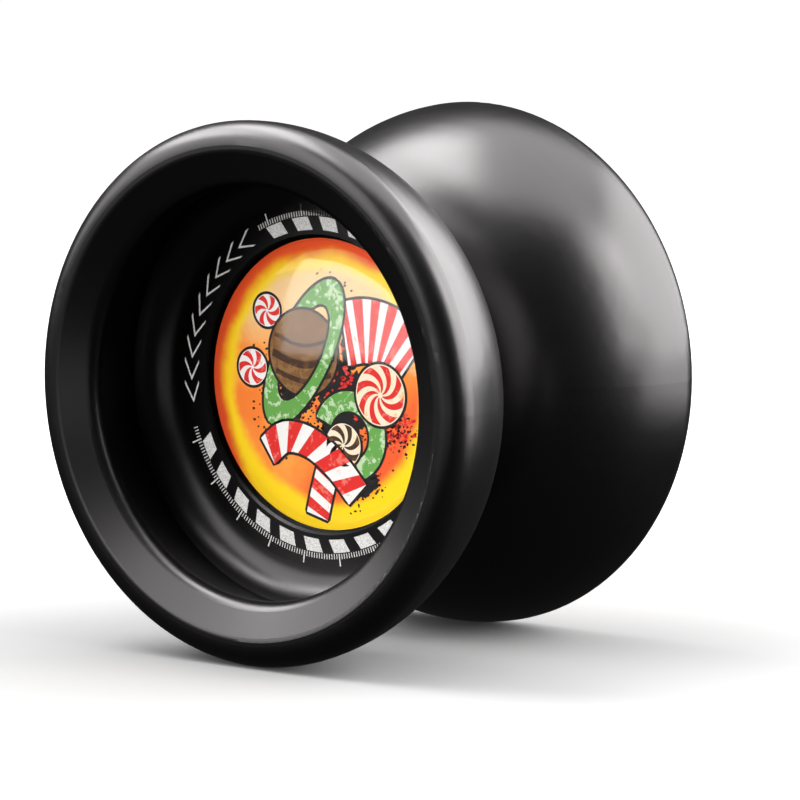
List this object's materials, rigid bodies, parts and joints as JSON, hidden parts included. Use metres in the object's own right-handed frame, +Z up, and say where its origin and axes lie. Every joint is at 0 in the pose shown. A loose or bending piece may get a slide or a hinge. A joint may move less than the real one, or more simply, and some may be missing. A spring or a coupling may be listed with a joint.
{
  "type": "yo-yo",
  "caption": "Wide ball-bearing yo-yo: two turned aluminium halves with deep cups and domed badges, screwed together over a bearing that the string loops round.",
  "frame": {"origin": "centre of the bearing, on the spin axis midway between the halves", "axes": "Y along the spin axis with the front half on -Y, Z up, X to the right as seen from the front"},
  "size_m": [0.056, 0.0416, 0.056],
  "materials": {
    "anodised": "bead-blasted, matte black anodised",
    "axle_steel": "black oxide",
    "bearing_steel": "ground",
    "ball_steel": "polished",
    "cage_steel": "pressed",
    "shield_steel": "pressed, satin",
    "clip_steel": "drawn wire",
    "silicone": "matte silicone",
    "badge_print": "printed film",
    "clear_resin": "clear cast resin, glossy"
  },
  "bodies": {
    "front": {"front_half": "anodised", "front_badge": "badge_print", "front_badge_dome": "clear_resin", "front_response_pad": "silicone", "axle": "axle_steel"},
    "bearing_core": {"bearing_inner_race": "bearing_steel"},
    "bearing_outer": {"bearing_outer_race": "bearing_steel", "bearing_front_shield": "shield_steel", "bearing_rear_shield": "shield_steel", "bearing_front_clip": "clip_steel", "bearing_rear_clip": "clip_steel"},
    "cage": {"bearing_cage": "cage_steel"},
    "rear": {"rear_half": "anodised", "rear_badge": "badge_print", "rear_badge_dome": "clear_resin", "rear_response_pad": "silicone"},
    "ball_01": {"bearing_ball_01": "ball_steel"},
    "ball_02": {"bearing_ball_02": "ball_steel"},
    "ball_03": {"bearing_ball_03": "ball_steel"},
    "ball_04": {"bearing_ball_04": "ball_steel"},
    "ball_05": {"bearing_ball_05": "ball_steel"},
    "ball_06": {"bearing_ball_06": "ball_steel"},
    "ball_07": {"bearing_ball_07": "ball_steel"},
    "ball_08": {"bearing_ball_08": "ball_steel"},
    "ball_09": {"bearing_ball_09": "ball_steel"},
    "ball_10": {"bearing_ball_10": "ball_steel"}
  },
  "joints": [
    {"name": "rear_draw", "type": "slide", "parent": "front", "child": "bearing_core", "axis": [0, 1, 0], "range_m": [0, 0.0056]},
    {"name": "rear_unscrew", "type": "hinge", "parent": "bearing_core", "child": "rear", "pos_m": [0, 0, 0], "axis": [0, 1, 0], "range_deg": [0, 2880]},
    {"name": "string_spin", "type": "hinge", "parent": "bearing_core", "child": "bearing_outer", "pos_m": [0, 0, 0], "axis": [0, 1, 0], "continuous": true},
    {"name": "cage_spin", "type": "hinge", "parent": "bearing_core", "child": "cage", "pos_m": [0, 0, 0], "axis": [0, 1, 0], "continuous": true},
    {"name": "ball_01_spin", "type": "hinge", "parent": "cage", "child": "ball_01", "pos_m": [0.00476, 0, 0], "axis": [0, 1, 0], "continuous": true},
    {"name": "ball_02_spin", "type": "hinge", "parent": "cage", "child": "ball_02", "pos_m": [0.00385, 0, 0.0028], "axis": [0, 1, 0], "continuous": true},
    {"name": "ball_03_spin", "type": "hinge", "parent": "cage", "child": "ball_03", "pos_m": [0.00147, 0, 0.00453], "axis": [0, 1, 0], "continuous": true},
    {"name": "ball_04_spin", "type": "hinge", "parent": "cage", "child": "ball_04", "pos_m": [-0.00147, 0, 0.00453], "axis": [0, 1, 0], "continuous": true},
    {"name": "ball_05_spin", "type": "hinge", "parent": "cage", "child": "ball_05", "pos_m": [-0.00385, 0, 0.0028], "axis": [0, 1, 0], "continuous": true},
    {"name": "ball_06_spin", "type": "hinge", "parent": "cage", "child": "ball_06", "pos_m": [-0.00476, 0, 0], "axis": [0, 1, 0], "continuous": true},
    {"name": "ball_07_spin", "type": "hinge", "parent": "cage", "child": "ball_07", "pos_m": [-0.00385, 0, -0.0028], "axis": [0, 1, 0], "continuous": true},
    {"name": "ball_08_spin", "type": "hinge", "parent": "cage", "child": "ball_08", "pos_m": [-0.00147, 0, -0.00453], "axis": [0, 1, 0], "continuous": true},
    {"name": "ball_09_spin", "type": "hinge", "parent": "cage", "child": "ball_09", "pos_m": [0.00147, 0, -0.00453], "axis": [0, 1, 0], "continuous": true},
    {"name": "ball_10_spin", "type": "hinge", "parent": "cage", "child": "ball_10", "pos_m": [0.00385, 0, -0.0028], "axis": [0, 1, 0], "continuous": true}
  ],
  "couplings": [
    {"joint": "rear_draw", "follows": "rear_unscrew", "m_per_rad": 0.00011141},
    {"joint": "cage_spin", "follows": "string_spin", "ratio": 0.58333},
    {"joint": "ball_01_spin", "follows": "string_spin", "ratio": 2.9167},
    {"joint": "ball_02_spin", "follows": "string_spin", "ratio": 2.9167},
    {"joint": "ball_03_spin", "follows": "string_spin", "ratio": 2.9167},
    {"joint": "ball_04_spin", "follows": "string_spin", "ratio": 2.9167},
    {"joint": "ball_05_spin", "follows": "string_spin", "ratio": 2.9167},
    {"joint": "ball_06_spin", "follows": "string_spin", "ratio": 2.9167},
    {"joint": "ball_07_spin", "follows": "string_spin", "ratio": 2.9167},
    {"joint": "ball_08_spin", "follows": "string_spin", "ratio": 2.9167},
    {"joint": "ball_09_spin", "follows": "string_spin", "ratio": 2.9167},
    {"joint": "ball_10_spin", "follows": "string_spin", "ratio": 2.9167}
  ]
}
